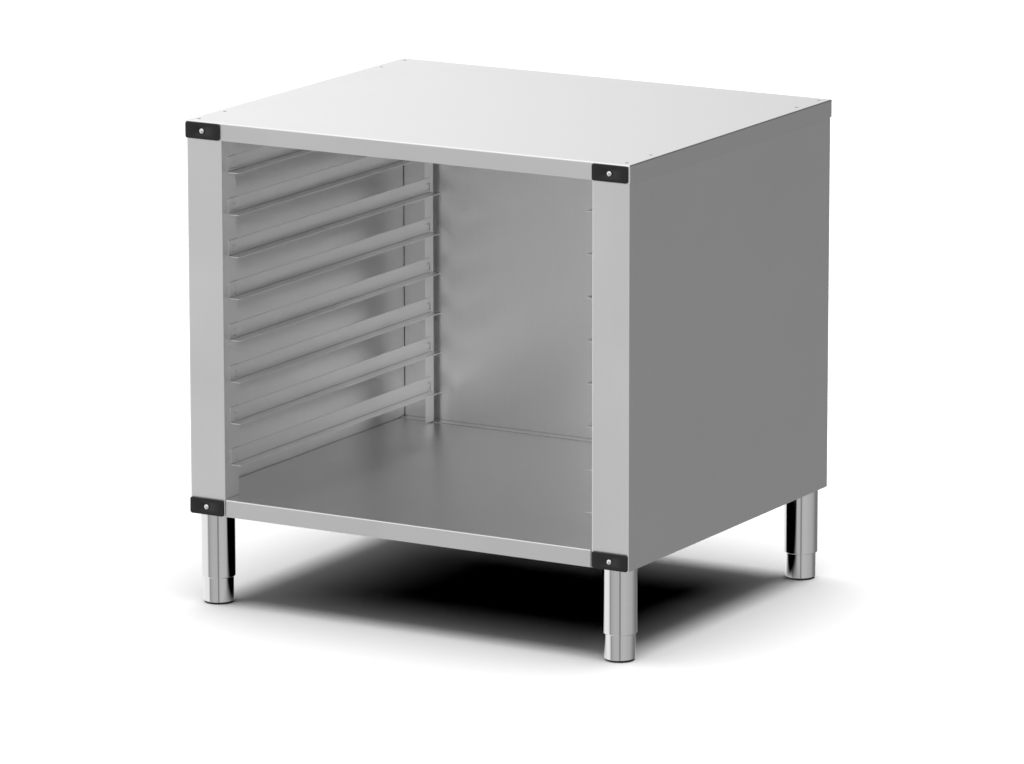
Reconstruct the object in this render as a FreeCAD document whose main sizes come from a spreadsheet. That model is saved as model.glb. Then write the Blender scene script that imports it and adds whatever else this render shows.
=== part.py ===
import FreeCAD, Part
import math
import os
import Sketcher
from FreeCAD import Vector

# Open stainless steel stand for a combi steamer oven, with tray runners.
# Frame: millimetres, +X to the right, +Y to the back, +Z up.
# The origin is on the floor, in the middle of the stand's outer box.

doc = FreeCAD.newDocument("oven_stand")


# ---------------------------------------------------------------- driving dimensions

DIMENSIONS = (
    ("top_width", 742.0, "width over the side flanges of the top panel"),
    ("top_depth", 618.0, "depth over the front and rear flanges of the top panel"),
    ("total_height", 727.0, "floor to the top face"),
    ("body_bottom", 138.0, "floor to the lower edge of the cabinet"),
    ("rail_height", 26.0, "height of the top panel's and the shelf's flanges"),
    ("top_sheet", 1.5, "sheet thickness of the top panel"),
    ("sheet", 1.2, "sheet thickness of all other folded pieces"),
    ("bend", 2.0, "outer radius of every fold"),
    ("gap", 0.2, "gap left between pieces that are slid into place"),
    ("top_lip", 12.0, "inward lip under the top panel's front flange"),
    ("fixing_radius", 2.75, "radius of the fixing holes in the top"),
    ("fixing_inset", 14.0, "fixing holes from the top panel's sides"),
    ("fixing_end", 17.0, "outer fixing holes from the top panel's front and rear"),
    ("fixing_pitch", 70.0, "outer to inner fixing hole"),
    ("stile_width", 60.2, "width of the front stiles"),
    ("return_depth", 38.4, "depth of the stile's return flange"),
    ("rail_gap", 1.5, "shelf's front rail to the side panels"),
    ("rear_flange", 18.0, "side panel's flange over the back panel"),
    ("back_foot", 16.0, "back panel's flange on the shelf"),
    ("post_width", 26.0, "width of the rear post's web"),
    ("post_flange", 15.0, "depth of the rear post's flanges"),
    ("tab_reach", 9.5, "how far a post's foot and head tabs stand out of its web"),
    ("tab_depth", 9.0, "depth of those tabs"),
    ("post_gap", 9.6, "rear post to back panel"),
    ("runner_front", 15.5, "stile face to the front end of the runners"),
    ("runner_length", 579.0, "length of a runner"),
    ("runner_height", 24.0, "height of a runner's upright flange"),
    ("runner_ledge", 18.5, "width of a runner's ledge"),
    ("runner_count", 8.0, "runners on each side"),
    ("runner_pitch", 62.5, "spacing of the runners"),
    ("top_ledge", 75.0, "top face down to the highest ledge"),
    ("runner_corner", 4.0, "radius of a runner's free corners"),
    ("window_width", 11.5, "opening that a runner's hook is bent out of"),
    ("window_height", 12.0, "height of that opening"),
    ("window_drop", 7.0, "runner's upper edge to that opening"),
    ("hook_front", 7.2, "runner's end to the front hook"),
    ("hook_rear", 563.5, "runner's end to the rear hook"),
    ("hook_reach", 6.0, "how far a hook stands out of the runner"),
    ("hook_grip", 3.7, "how far a hook's nose hangs behind the post"),
    ("hook_slack", 0.5, "play of a hook in its slit"),
    ("slit_arm", 2.9, "height of the slit's side arm below the opening's upper edge"),
    ("slit_reach", 14.5, "length of that side arm"),
    ("cap_width", 58.0, "width of a corner cap"),
    ("cap_height", 24.5, "height of a corner cap"),
    ("cap_thickness", 3.0, "thickness of a corner cap"),
    ("cap_corner", 3.5, "corner radius of a cap"),
    ("cap_edge", 0.8, "edge radius of a cap"),
    ("cap_inset", 2.0, "cap from the side edge of the stand"),
    ("screw_head", 4.0, "radius of a cap screw's head"),
    ("screw_dome", 2.2, "height of a cap screw's head"),
    ("screw_radius", 2.0, "radius of a cap screw's thread"),
    ("screw_length", 5.8, "length of a cap screw under its head"),
    ("screw_play", 0.1, "screw to the wall of its hole"),
    ("rivet_head", 4.0, "radius of a rivet's head"),
    ("rivet_dome", 1.4, "height of a rivet's head"),
    ("rivet_radius", 2.0, "radius of a rivet's shank"),
    ("rivet_tail", 2.8, "radius of a rivet's set tail"),
    ("rivet_drop", 12.0, "runner's ledge down to the rivet beside it"),
    ("hat_crown", 40.0, "width of a stiffener's crown"),
    ("hat_foot", 12.0, "width of a stiffener's feet"),
    ("hat_depth", 18.0, "depth of a stiffener"),
    ("hat_offset", 150.0, "top stiffeners from the middle"),
    ("leg_side", 29.4, "leg's axis from the side panel's face"),
    ("leg_face", 28.7, "leg's axis from the front and rear faces"),
    ("tube_radius", 25.4, "radius of a leg tube"),
    ("tube_wall", 1.5, "wall of a leg tube"),
    ("tube_bottom", 40.0, "floor to the lower end of a leg tube"),
    ("tube_lip", 3.0, "height of the tube's rolled-in lower lip"),
    ("lip_bore", 23.1, "radius inside that lip"),
    ("plate_side", 90.0, "side of a leg plate"),
    ("plate_thickness", 4.0, "thickness of a leg plate"),
    ("plate_inset", 3.4, "leg plate from the cabinet's outer faces"),
    ("stud_far", 75.0, "far studs from the cabinet's outer faces"),
    ("stud_near", 20.0, "near studs from the cabinet's outer faces"),
    ("stud_radius", 4.0, "radius of a weld stud"),
    ("stud_length", 14.0, "length of a weld stud"),
    ("stud_play", 0.5, "stud to the wall of its hole in the plate"),
    ("nut_flats", 13.0, "nut across flats"),
    ("nut_height", 6.5, "height of a nut"),
    ("bush_bottom", 98.0, "floor to the threaded bush"),
    ("bush_height", 16.0, "height of the bush"),
    ("spindle_radius", 8.0, "radius of a foot's threaded spindle"),
    ("thread_play", 0.05, "spindle to bush, and pin to socket"),
    ("spindle_chamfer", 1.5, "chamfer of the spindle's upper end"),
    ("spindle_top", 127.5, "floor to the spindle's upper end"),
    ("foot_radius", 22.7, "radius of a foot sleeve"),
    ("foot_wall", 2.0, "wall of a foot sleeve"),
    ("foot_top", 64.0, "floor to the upper end of a foot sleeve"),
    ("foot_base", 6.0, "thickness of a foot sleeve's base"),
    ("glide_radius", 21.5, "radius of a glide"),
    ("glide_height", 3.0, "thickness of a glide's disc"),
    ("glide_gap", 0.1, "glide to foot sleeve"),
    ("pin_radius", 4.0, "radius of a glide's pin"),
    ("pin_height", 3.5, "height of a glide's pin"),
    ("socket_slack", 0.5, "play over the pin in its socket"),
)


class Size:
    """A length that keeps both its value and the sheet formula that gives it."""

    def __init__(self, value, formula):
        self.value = value
        self.formula = formula

    def __add__(self, other):
        other = as_size(other)
        return Size(self.value + other.value, f"({self.formula} + {other.formula})")

    def __sub__(self, other):
        other = as_size(other)
        return Size(self.value - other.value, f"({self.formula} - {other.formula})")

    def __mul__(self, other):
        other = as_size(other)
        return Size(self.value * other.value, f"({self.formula} * {other.formula})")

    def __truediv__(self, other):
        other = as_size(other)
        return Size(self.value / other.value, f"({self.formula} / {other.formula})")

    def __neg__(self):
        return Size(-self.value, f"(0 - {self.formula})")

    __rmul__ = __mul__
    __radd__ = __add__


def as_size(number):
    """Turn a plain number into a Size, and leave a Size as it is."""
    if isinstance(number, Size):
        return number
    return Size(float(number), f"({float(number)})")


class Sizes:
    """The driving dimensions by name, read back from the sheet."""


def fill_sheet():
    """Write every driving dimension to the sheet and hand them back as Sizes."""
    sheet = doc.addObject("Spreadsheet::Sheet", "sizes")
    for row, (name, value, meaning) in enumerate(DIMENSIONS, start=1):
        sheet.set(f"A{row}", name)
        sheet.set(f"B{row}", str(value))
        sheet.set(f"C{row}", meaning)
        sheet.setAlias(f"B{row}", name)
    doc.recompute()
    sizes = Sizes()
    for name, _, _ in DIMENSIONS:
        setattr(sizes, name, Size(float(sheet.get(name)), f"sizes.{name}"))
    return sizes


s = fill_sheet()
ZERO = as_size(0)
LEFT, RIGHT = -1, 1
FRONT, REAR = -1, 1
SIDES = (("left", LEFT), ("right", RIGHT))
ENDS = (("front", FRONT), ("rear", REAR))

# Places that several pieces share.
outer_depth = s.top_depth + s.cap_thickness + s.screw_dome
top_rear = outer_depth / 2
top_front = top_rear - s.top_depth
face_front = top_front + s.top_sheet
face_rear = top_rear - s.top_sheet
side_face = s.top_width / 2 - s.top_sheet
inner_side = side_face - s.sheet
top_under = s.total_height - s.top_sheet
top_edge = s.total_height - s.rail_height
floor_top = s.body_bottom + s.rail_height
floor_under = floor_top - s.sheet
back_inner = face_rear - 2 * s.sheet
post_face = side_face - s.stile_width
post_rear = back_inner - s.post_gap
post_bottom = floor_top + s.sheet
runner_start = face_front + s.runner_front
cap_centre = s.top_width / 2 - s.cap_inset - s.cap_width / 2
leg_x = side_face - s.leg_side
plate_under = floor_under - s.plate_thickness
fold_inside = s.bend - s.sheet
top_cap_height = top_edge + s.cap_height / 2
low_cap_height = s.body_bottom + s.gap + s.cap_height / 2
rivet_x = side_face - s.rear_flange / 2


# ---------------------------------------------------------------- small modelling tools

sub_parts = []


def bind(thing, name, size):
    """Give a property its value and tie it to the sheet."""
    setattr(thing, name, size.value)
    thing.setExpression(name, size.formula)


def new_body(label):
    """A new PartDesign body that will become one file."""
    body = doc.addObject("PartDesign::Body", label)
    body.Label = label
    sub_parts.append(body)
    return body


def origin_feature(body, role):
    """The body's own origin plane or axis with that role."""
    return next(feature for feature in body.Origin.OriginFeatures if feature.Role == role)


def place(thing, x, y, z):
    """Put a piece at x, y, z, tied to the sheet."""
    thing.Placement = FreeCAD.Placement(Vector(x.value, y.value, z.value), FreeCAD.Rotation())
    for axis, size in zip("xyz", (x, y, z)):
        thing.setExpression(f"Placement.Base.{axis}", size.formula)


def new_sketch(body, name, role, offset=ZERO):
    """A sketch on one of the body's origin planes, moved along that plane's normal."""
    sketch = body.newObject("Sketcher::SketchObject", name)
    sketch.AttachmentSupport = (origin_feature(body, role), "")
    sketch.MapMode = "FlatFace"
    sketch.AttachmentOffset = FreeCAD.Placement(Vector(0, 0, offset.value), FreeCAD.Rotation())
    sketch.setExpression("AttachmentOffset.Base.z", offset.formula)
    return sketch


def hold_point(sketch, item, point, x, y):
    """Tie one point of a sketch to its two coordinates."""
    for kind, size in (("DistanceX", x), ("DistanceY", y)):
        row = sketch.addConstraint(Sketcher.Constraint(kind, -1, 1, item, point, size.value))
        sketch.setExpression(f"Constraints[{row}]", size.formula)


def draw_outline(sketch, corners):
    """Draw a closed outline of straight lines through the corners."""
    corners = [(as_size(x), as_size(y)) for x, y in corners]
    points = [Vector(x.value, y.value, 0) for x, y in corners]
    first = sketch.GeometryCount
    for start, end in zip(points, points[1:] + points[:1]):
        sketch.addGeometry(Part.LineSegment(start, end), False)
    for i in range(len(points)):
        following = first + (i + 1) % len(points)
        sketch.addConstraint(Sketcher.Constraint("Coincident", first + i, 2, following, 1))
    for i, (x, y) in enumerate(corners):
        hold_point(sketch, first + i, 1, x, y)


def draw_box(sketch, low_x, high_x, low_y, high_y):
    """Draw a rectangle between two values of each coordinate."""
    draw_outline(sketch, ((low_x, low_y), (high_x, low_y), (high_x, high_y), (low_x, high_y)))


def draw_circle(sketch, x, y, radius):
    """Draw a circle about a tied centre."""
    centre = Vector(x.value, y.value, 0)
    circle = sketch.addGeometry(Part.Circle(centre, Vector(0, 0, 1), radius.value), False)
    hold_point(sketch, circle, 3, x, y)
    row = sketch.addConstraint(Sketcher.Constraint("Radius", circle, radius.value))
    sketch.setExpression(f"Constraints[{row}]", radius.formula)


def pad(sketch, name, length, backwards=False):
    """Raise a sketch into a solid."""
    feature = sketch.getParentGeoFeatureGroup().newObject("PartDesign::Pad", name)
    feature.Profile = sketch
    bind(feature, "Length", length)
    feature.Reversed = backwards
    sketch.Visibility = False
    doc.recompute()
    return feature


def pocket(sketch, name, length, along_normal):
    """Cut a sketch out of the body, along or against the sketch's normal."""
    body = sketch.getParentGeoFeatureGroup()
    before = body.Shape.Volume
    feature = body.newObject("PartDesign::Pocket", name)
    feature.Profile = sketch
    bind(feature, "Length", length)
    feature.Reversed = along_normal
    doc.recompute()
    if not body.Shape.Volume < before:
        raise RuntimeError(f"{body.Label}.{name} cuts nothing")
    return feature


def revolve(sketch, name):
    """Turn a sketch once round its own upright axis."""
    feature = sketch.getParentGeoFeatureGroup().newObject("PartDesign::Revolution", name)
    feature.Profile = sketch
    feature.ReferenceAxis = (sketch, ["V_Axis"])
    feature.Angle = 360
    doc.recompute()
    return feature


def repeat_down(feature, name, step, count):
    """Repeat a cut in equal steps down the body."""
    body = feature.getParentGeoFeatureGroup()
    before = body.Shape.Volume
    pattern = body.newObject("PartDesign::LinearPattern", name)
    pattern.Originals = [feature]
    pattern.Direction = (origin_feature(body, "Z_Axis"), [""])
    pattern.Reversed = True
    bind(pattern, "Length", step * (count - 1))
    pattern.Occurrences = round(count.value)
    pattern.setExpression("Occurrences", count.formula)
    body.Tip = pattern
    doc.recompute()
    if not body.Shape.Volume < before:
        raise RuntimeError(f"{body.Label}.{name} repeats nothing")
    return pattern


def round_edges(body, name, radius, wanted):
    """Round every edge of the body whose middle and direction pass the test."""
    base = body.Tip
    names = []
    for number, edge in enumerate(base.Shape.Edges, start=1):
        middle = edge.valueAt((edge.FirstParameter + edge.LastParameter) / 2)
        if wanted(middle, edge):
            names.append(f"Edge{number}")
    if not names:
        raise RuntimeError(f"{body.Label}.{name} finds no edge")
    feature = body.newObject("PartDesign::Fillet", name)
    feature.Base = (base, names)
    bind(feature, "Radius", radius)
    doc.recompute()
    return feature


def near(value, size):
    """Whether a coordinate is at that size."""
    return abs(value - size.value) < 0.01


def is_upright(edge):
    """Whether an edge is straight and runs along Z."""
    return isinstance(edge.Curve, Part.Line) and abs(edge.Curve.Direction.z) > 0.99


def gather(label, members):
    """Put equal fasteners into one file, each still a solid of its own."""
    group = doc.addObject("Part::Compound", label)
    group.Label = label
    group.Links = members
    for member in members:
        sub_parts.remove(member)
    sub_parts.append(group)


# ---------------------------------------------------------------- top panel

def make_top_panel():
    """The working surface: a shallow tray, folded down all round."""
    body = new_body("top_panel")
    outside = new_sketch(body, "top_outline", "XY_Plane", top_edge)
    draw_box(outside, -s.top_width / 2, s.top_width / 2, top_front, top_rear)
    pad(outside, "top_block", s.rail_height)
    round_edges(
        body, "top_folds", s.bend,
        lambda at, edge: near(at.z, s.total_height) or is_upright(edge),
    )
    inside = new_sketch(body, "top_inside", "XY_Plane", top_edge)
    draw_box(inside, -side_face, side_face, face_front, face_rear)
    pocket(inside, "top_hollow", top_under - top_edge, along_normal=True)

    lip = new_sketch(body, "lip_outline", "XY_Plane", top_edge)
    lip_half = post_face - s.gap
    draw_box(lip, -lip_half, lip_half, face_front - s.sheet, face_front + s.top_lip)
    pad(lip, "front_lip", s.top_sheet)

    holes = new_sketch(body, "fixing_holes", "XY_Plane", s.total_height)
    for side in (LEFT, RIGHT):
        for inset in (s.fixing_end, s.fixing_end + s.fixing_pitch):
            for y in (top_front + inset, top_rear - inset):
                draw_circle(holes, side * (s.top_width / 2 - s.fixing_inset), y, s.fixing_radius)
    pocket(holes, "fixing_cuts", s.top_sheet * 2, along_normal=False)

    screws = new_sketch(body, "cap_screw_holes", "XZ_Plane", -top_front)
    for side in (LEFT, RIGHT):
        draw_circle(screws, side * cap_centre, top_cap_height, s.screw_radius + s.screw_play)
    pocket(screws, "cap_screw_cuts", s.top_sheet * 2, along_normal=False)


def make_stiffener(label, middle, sheet_face, half_length):
    """A hat-section rib under a sheet: two feet against the sheet and a crown below them."""
    body = new_body(label)
    crown = s.hat_crown / 2
    foot = crown + s.hat_foot
    foot_under = sheet_face - s.sheet
    crown_under = sheet_face - s.hat_depth
    outline = (
        (middle - foot, sheet_face),
        (middle - crown + s.sheet, sheet_face),
        (middle - crown + s.sheet, crown_under + s.sheet),
        (middle + crown - s.sheet, crown_under + s.sheet),
        (middle + crown - s.sheet, sheet_face),
        (middle + foot, sheet_face),
        (middle + foot, foot_under),
        (middle + crown, foot_under),
        (middle + crown, crown_under),
        (middle - crown, crown_under),
        (middle - crown, foot_under),
        (middle - foot, foot_under),
    )
    profile = new_sketch(body, f"{label}_profile", "YZ_Plane", -half_length)
    draw_outline(profile, outline)
    pad(profile, f"{label}_rib", half_length * 2)


# ---------------------------------------------------------------- side panels

RIVET_ROWS = (0, 2, 4, 6)


def ledge_height(row):
    """Height of the top of the ledge of the runners in that row."""
    return s.total_height - s.top_ledge - row * s.runner_pitch


def rivet_heights():
    """Heights of the rivets up one side of the back panel, beside every second runner."""
    return [ledge_height(row) - s.rivet_drop for row in RIVET_ROWS]


def window_top_height(row):
    """Height of the upper edge of the openings in the runners of that row."""
    return ledge_height(row) - s.sheet + s.runner_height - s.window_drop


def cut_slits(body, side, start):
    """Cut the row of slits that one end of the runners hooks into. A slit has a side arm
    at its upper end, which lets the hook's nose in."""
    near_edge = start - s.hook_slack / 2
    far_edge = near_edge + s.sheet + s.hook_slack
    low = window_top_height(0) - s.window_height + s.hook_grip
    arm_low = window_top_height(0) - s.slit_arm
    top = low + s.window_height + s.hook_slack
    sketch = new_sketch(body, "slit_outline", "YZ_Plane", side * (post_face - s.sheet))
    draw_outline(sketch, (
        (near_edge, low), (far_edge, low), (far_edge, arm_low),
        (near_edge + s.slit_reach, arm_low), (near_edge + s.slit_reach, top), (near_edge, top),
    ))
    slit = pocket(sketch, "slit", s.sheet * 3, along_normal=side == RIGHT)
    repeat_down(slit, "slits", s.runner_pitch, s.runner_count)


def make_side_panel(name, side):
    """One folded sheet: wall, front stile, return flange and rear flange."""
    body = new_body(f"side_panel_{name}")
    return_rear = face_front + s.return_depth
    outline = (
        (side * side_face, face_front),
        (side * side_face, face_rear),
        (side * (side_face - s.rear_flange), face_rear),
        (side * (side_face - s.rear_flange), face_rear - s.sheet),
        (side * inner_side, face_rear - s.sheet),
        (side * inner_side, face_front + s.sheet),
        (side * (post_face + s.sheet), face_front + s.sheet),
        (side * (post_face + s.sheet), return_rear),
        (side * post_face, return_rear),
        (side * post_face, face_front),
    )
    profile = new_sketch(body, "panel_profile", "XY_Plane", s.body_bottom)
    draw_outline(profile, outline)
    pad(profile, "panel_sheet", top_under - s.body_bottom)

    outer_folds = ((side_face, face_front), (side_face, face_rear), (post_face, face_front))
    inner_folds = ((inner_side, face_front + s.sheet), (inner_side, face_rear - s.sheet),
                   (post_face + s.sheet, face_front + s.sheet))
    for title, folds, radius in (("outer_folds", outer_folds, s.bend),
                                 ("inner_folds", inner_folds, fold_inside)):
        round_edges(
            body, title, radius,
            lambda at, edge: is_upright(edge)
            and any(near(at.x, side * x) and near(at.y, y) for x, y in folds),
        )

    # The return flange stands on the shelf; only the stile goes down to the lower edge.
    foot = new_sketch(body, "return_foot", "XY_Plane", s.body_bottom)
    draw_box(foot, side * (post_face - s.gap), side * (post_face + s.bend),
             face_front + s.sheet, return_rear + s.gap)
    pocket(foot, "return_cut", s.rail_height, along_normal=True)

    # A screw goes through the stile behind the middle of each cap.
    screws = new_sketch(body, "cap_screw_holes", "XZ_Plane", -face_front)
    for height in (top_cap_height, low_cap_height):
        draw_circle(screws, side * cap_centre, height, s.screw_radius + s.screw_play)
    pocket(screws, "cap_screw_cuts", s.sheet * 2, along_normal=False)

    rivets = new_sketch(body, "rivet_holes", "XZ_Plane", -face_rear)
    for height in rivet_heights():
        draw_circle(rivets, side * rivet_x, height, s.rivet_radius + s.screw_play)
    pocket(rivets, "rivet_cuts", s.sheet * 2, along_normal=True)

    cut_slits(body, side, runner_start + s.hook_front)


# ---------------------------------------------------------------- back panel and shelf

def make_back_panel():
    """The back sheet, with a flange that rests on the shelf."""
    body = new_body("back_panel")
    half = inner_side - fold_inside
    outer = back_inner + s.sheet
    profile = new_sketch(body, "back_profile", "YZ_Plane", -half)
    draw_outline(profile, (
        (back_inner - s.back_foot, floor_top),
        (outer, floor_top),
        (outer, top_under),
        (back_inner, top_under),
        (back_inner, floor_top + s.sheet),
        (back_inner - s.back_foot, floor_top + s.sheet),
    ))
    pad(profile, "back_sheet", half * 2)
    round_edges(
        body, "back_outer_fold", s.bend,
        lambda at, edge: near(at.y, outer) and near(at.z, floor_top) and near(at.x, ZERO),
    )
    rivets = new_sketch(body, "rivet_holes", "XZ_Plane", -outer)
    for side in (LEFT, RIGHT):
        for height in rivet_heights():
            draw_circle(rivets, side * rivet_x, height, s.rivet_radius + s.screw_play)
    pocket(rivets, "rivet_cuts", s.sheet * 2, along_normal=True)


def make_shelf():
    """The bottom shelf: a tray folded down all round, with its rail between the stiles."""
    body = new_body("bottom_shelf")
    half = inner_side - fold_inside
    rear = face_rear - s.sheet
    notch = face_front + s.sheet + s.gap
    rail_half = post_face - s.rail_gap
    outside = new_sketch(body, "shelf_outline", "XY_Plane", s.body_bottom)
    draw_outline(outside, (
        (-half, notch), (-rail_half, notch), (-rail_half, face_front), (rail_half, face_front),
        (rail_half, notch), (half, notch), (half, rear), (-half, rear),
    ))
    pad(outside, "shelf_block", s.rail_height)
    round_edges(
        body, "shelf_folds", s.bend,
        lambda at, edge: near(at.z, floor_top) and (near(at.y, face_front) or near(at.y, rear)),
    )
    inside = new_sketch(body, "shelf_inside", "XY_Plane", s.body_bottom)
    draw_outline(inside, (
        (s.sheet - half, notch + s.sheet), (s.sheet - rail_half, notch + s.sheet),
        (s.sheet - rail_half, face_front + s.sheet), (rail_half - s.sheet, face_front + s.sheet),
        (rail_half - s.sheet, notch + s.sheet), (half - s.sheet, notch + s.sheet),
        (half - s.sheet, rear - s.sheet), (s.sheet - half, rear - s.sheet),
    ))
    pocket(inside, "shelf_hollow", floor_under - s.body_bottom, along_normal=True)
    screws = new_sketch(body, "cap_screw_holes", "XZ_Plane", -notch)
    for side in (LEFT, RIGHT):
        draw_circle(screws, side * cap_centre, low_cap_height, s.screw_radius + s.screw_play)
    pocket(screws, "cap_screw_cuts", s.sheet * 2, along_normal=False)


# ---------------------------------------------------------------- rear posts and runners

def make_rear_post(name, side):
    """A channel that stands before the back panel, open towards the side."""
    body = new_body(f"rear_post_{name}")
    front = post_rear - s.post_width
    depth = post_face + s.post_flange
    profile = new_sketch(body, "post_profile", "XY_Plane", post_bottom)
    draw_outline(profile, (
        (side * post_face, front),
        (side * post_face, post_rear),
        (side * depth, post_rear),
        (side * depth, post_rear - s.sheet),
        (side * (post_face + s.sheet), post_rear - s.sheet),
        (side * (post_face + s.sheet), front),
    ))
    pad(profile, "post_channel", top_under - post_bottom)
    round_edges(
        body, "post_folds", s.bend,
        lambda at, edge: is_upright(edge) and near(at.x, side * post_face) and near(at.y, post_rear),
    )
    for title, height in (("foot_tab", post_bottom), ("head_tab", top_under - s.sheet)):
        tab = new_sketch(body, f"{title}_outline", "XY_Plane", height)
        draw_box(tab, side * (post_face + s.sheet / 2), side * (post_face + s.tab_reach),
                 post_rear - s.tab_depth, post_rear - s.sheet / 2)
        pad(tab, title, s.sheet)
    cut_slits(body, side, runner_start + s.hook_rear)


def make_runner(name, side, row):
    """An L-section runner with a hook at each end, drawn about its front end on the post's face."""
    body = new_body(f"tray_runner_{name}_{row + 1}")
    inward = -side
    profile = new_sketch(body, "runner_profile", "XZ_Plane", ZERO)
    draw_outline(profile, (
        (ZERO, ZERO),
        (inward * s.runner_ledge, ZERO),
        (inward * s.runner_ledge, s.sheet),
        (inward * s.sheet, s.sheet),
        (inward * s.sheet, s.runner_height),
        (ZERO, s.runner_height),
    ))
    pad(profile, "runner_angle", s.runner_length, backwards=True)
    round_edges(
        body, "runner_fold", s.bend,
        lambda at, edge: near(at.x, ZERO) and near(at.z, ZERO) and near(at.y, s.runner_length / 2),
    )
    round_edges(
        body, "free_corners", s.runner_corner,
        lambda at, edge: near(at.z, s.runner_height)
        and (near(at.y, ZERO) or near(at.y, s.runner_length)),
    )
    window_top = s.runner_height - s.window_drop
    window_bottom = window_top - s.window_height
    windows = new_sketch(body, "window_outlines", "YZ_Plane", ZERO)
    for start in (s.hook_front, s.hook_rear):
        draw_box(windows, start + s.sheet, start + s.window_width, window_bottom, window_top)
    pocket(windows, "windows", s.sheet * 2, along_normal=side == LEFT)

    # A hook's neck rests on the lower end of its slit, and its nose hangs behind the post.
    past_post = s.sheet + s.gap
    for title, start in (("front_hook", s.hook_front), ("rear_hook", s.hook_rear)):
        hook = new_sketch(body, f"{title}_outline", "XZ_Plane", -start)
        draw_outline(hook, (
            (inward * s.sheet, window_bottom + s.hook_grip),
            (inward * -past_post, window_bottom + s.hook_grip),
            (inward * -past_post, window_bottom),
            (inward * -s.hook_reach, window_bottom),
            (inward * -s.hook_reach, window_top),
            (inward * s.sheet, window_top),
        ))
        pad(hook, title, s.sheet, backwards=True)
    place(body, side * post_face, runner_start, ledge_height(row) - s.sheet)


# ---------------------------------------------------------------- corner caps and fasteners

def make_cap(label, side, height, back):
    """A plastic corner cap, drawn about its screw on the face behind it."""
    body = new_body(label)
    outline = new_sketch(body, "cap_outline", "XZ_Plane", ZERO)
    draw_box(outline, -s.cap_width / 2, s.cap_width / 2, -s.cap_height / 2, s.cap_height / 2)
    pad(outline, "cap_plate", s.cap_thickness)
    round_edges(
        body, "cap_corners", s.cap_corner,
        lambda at, edge: near(at.y, -s.cap_thickness / 2),
    )
    round_edges(body, "cap_edges", s.cap_edge, lambda at, edge: near(at.y, -s.cap_thickness))
    hole = new_sketch(body, "screw_hole", "XZ_Plane", s.cap_thickness)
    draw_circle(hole, ZERO, ZERO, s.screw_radius + s.screw_play)
    pocket(hole, "screw_cut", s.cap_thickness * 2, along_normal=False)
    place(body, side * cap_centre, back, height)


def turned_fastener(label, outline, dome_radius, dome_height, angle):
    """A fastener turned about its own axis, its head up before it is laid over."""
    body = new_body(label)
    profile = new_sketch(body, "fastener_profile", "XZ_Plane", ZERO)
    draw_outline(profile, outline)
    revolve(profile, "fastener_body")
    round_edges(
        body, "fastener_dome", dome_radius,
        lambda at, edge: near(at.z, dome_height) and isinstance(edge.Curve, Part.Circle),
    )
    body.Placement = FreeCAD.Placement(Vector(0, 0, 0), FreeCAD.Rotation(Vector(1, 0, 0), angle))
    return body


def lay(body, x, y, z):
    """Move a laid-over fastener to x, y, z, tied to the sheet."""
    for axis, size in zip("xyz", (x, y, z)):
        body.setExpression(f"Placement.Base.{axis}", size.formula)


def make_cap_screws():
    """One dome-head screw through the middle of every cap."""
    outline = (
        (ZERO, -s.screw_length), (s.screw_radius, -s.screw_length), (s.screw_radius, ZERO),
        (s.screw_head, ZERO), (s.screw_head, s.screw_dome), (ZERO, s.screw_dome),
    )
    screws = []
    for level, height, back in (("top", top_cap_height, top_front),
                                ("low", low_cap_height, face_front)):
        for name, side in SIDES:
            screw = turned_fastener(f"cap_screw_{level}_{name}", outline,
                                    s.screw_dome - s.gap, s.screw_dome, 90)
            lay(screw, side * cap_centre, back - s.cap_thickness, height)
            screws.append(screw)
    gather("cap_screws", screws)


def make_back_rivets():
    """Blind rivets up both sides of the back panel."""
    grip = 2 * s.sheet
    tail = grip + s.rivet_tail
    outline = (
        (ZERO, -tail), (s.rivet_tail, -tail), (s.rivet_tail, -grip), (s.rivet_radius, -grip),
        (s.rivet_radius, ZERO), (s.rivet_head, ZERO), (s.rivet_head, s.rivet_dome),
        (ZERO, s.rivet_dome),
    )
    rivets = []
    for name, side in SIDES:
        for number, height in enumerate(rivet_heights(), start=1):
            rivet = turned_fastener(f"back_rivet_{name}_{number}", outline,
                                    s.rivet_dome - s.gap, s.rivet_dome, -90)
            lay(rivet, side * rivet_x, face_rear, height)
            rivets.append(rivet)
    gather("back_rivets", rivets)


# ---------------------------------------------------------------- legs and feet

def leg_y(end):
    """Y of the leg's axis, at the front or at the rear."""
    if end == FRONT:
        return face_front + s.leg_face
    return face_rear - s.leg_face


def face_y(end):
    """Y of the cabinet's outer face, at the front or at the rear."""
    if end == FRONT:
        return face_front
    return face_rear


def stud_places(side, end):
    """The three studs of a leg plate: they leave the corner to the tube."""
    for inset_x, inset_y in ((s.stud_far, s.stud_near), (s.stud_near, s.stud_far),
                             (s.stud_far, s.stud_far)):
        yield side * (side_face - inset_x), face_y(end) - end * inset_y


def make_leg_plate(label, side, end):
    """A square plate under the shelf, which the tube is welded to."""
    body = new_body(f"leg_plate_{label}")
    outer_x, outer_y = side * (side_face - s.plate_inset), face_y(end) - end * s.plate_inset
    outline = new_sketch(body, "plate_outline", "XY_Plane", plate_under)
    draw_box(outline, outer_x, outer_x - side * s.plate_side, outer_y, outer_y - end * s.plate_side)
    for x, y in stud_places(side, end):
        draw_circle(outline, x, y, s.stud_radius + s.stud_play)
    pad(outline, "plate", s.plate_thickness)


def turned_piece(label, outline, side, end):
    """A round piece on the axis of one leg."""
    body = new_body(label)
    profile = new_sketch(body, "turned_profile", "XZ_Plane", ZERO)
    draw_outline(profile, outline)
    revolve(profile, "turned_body")
    place(body, side * leg_x, leg_y(end), ZERO)
    return body


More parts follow.
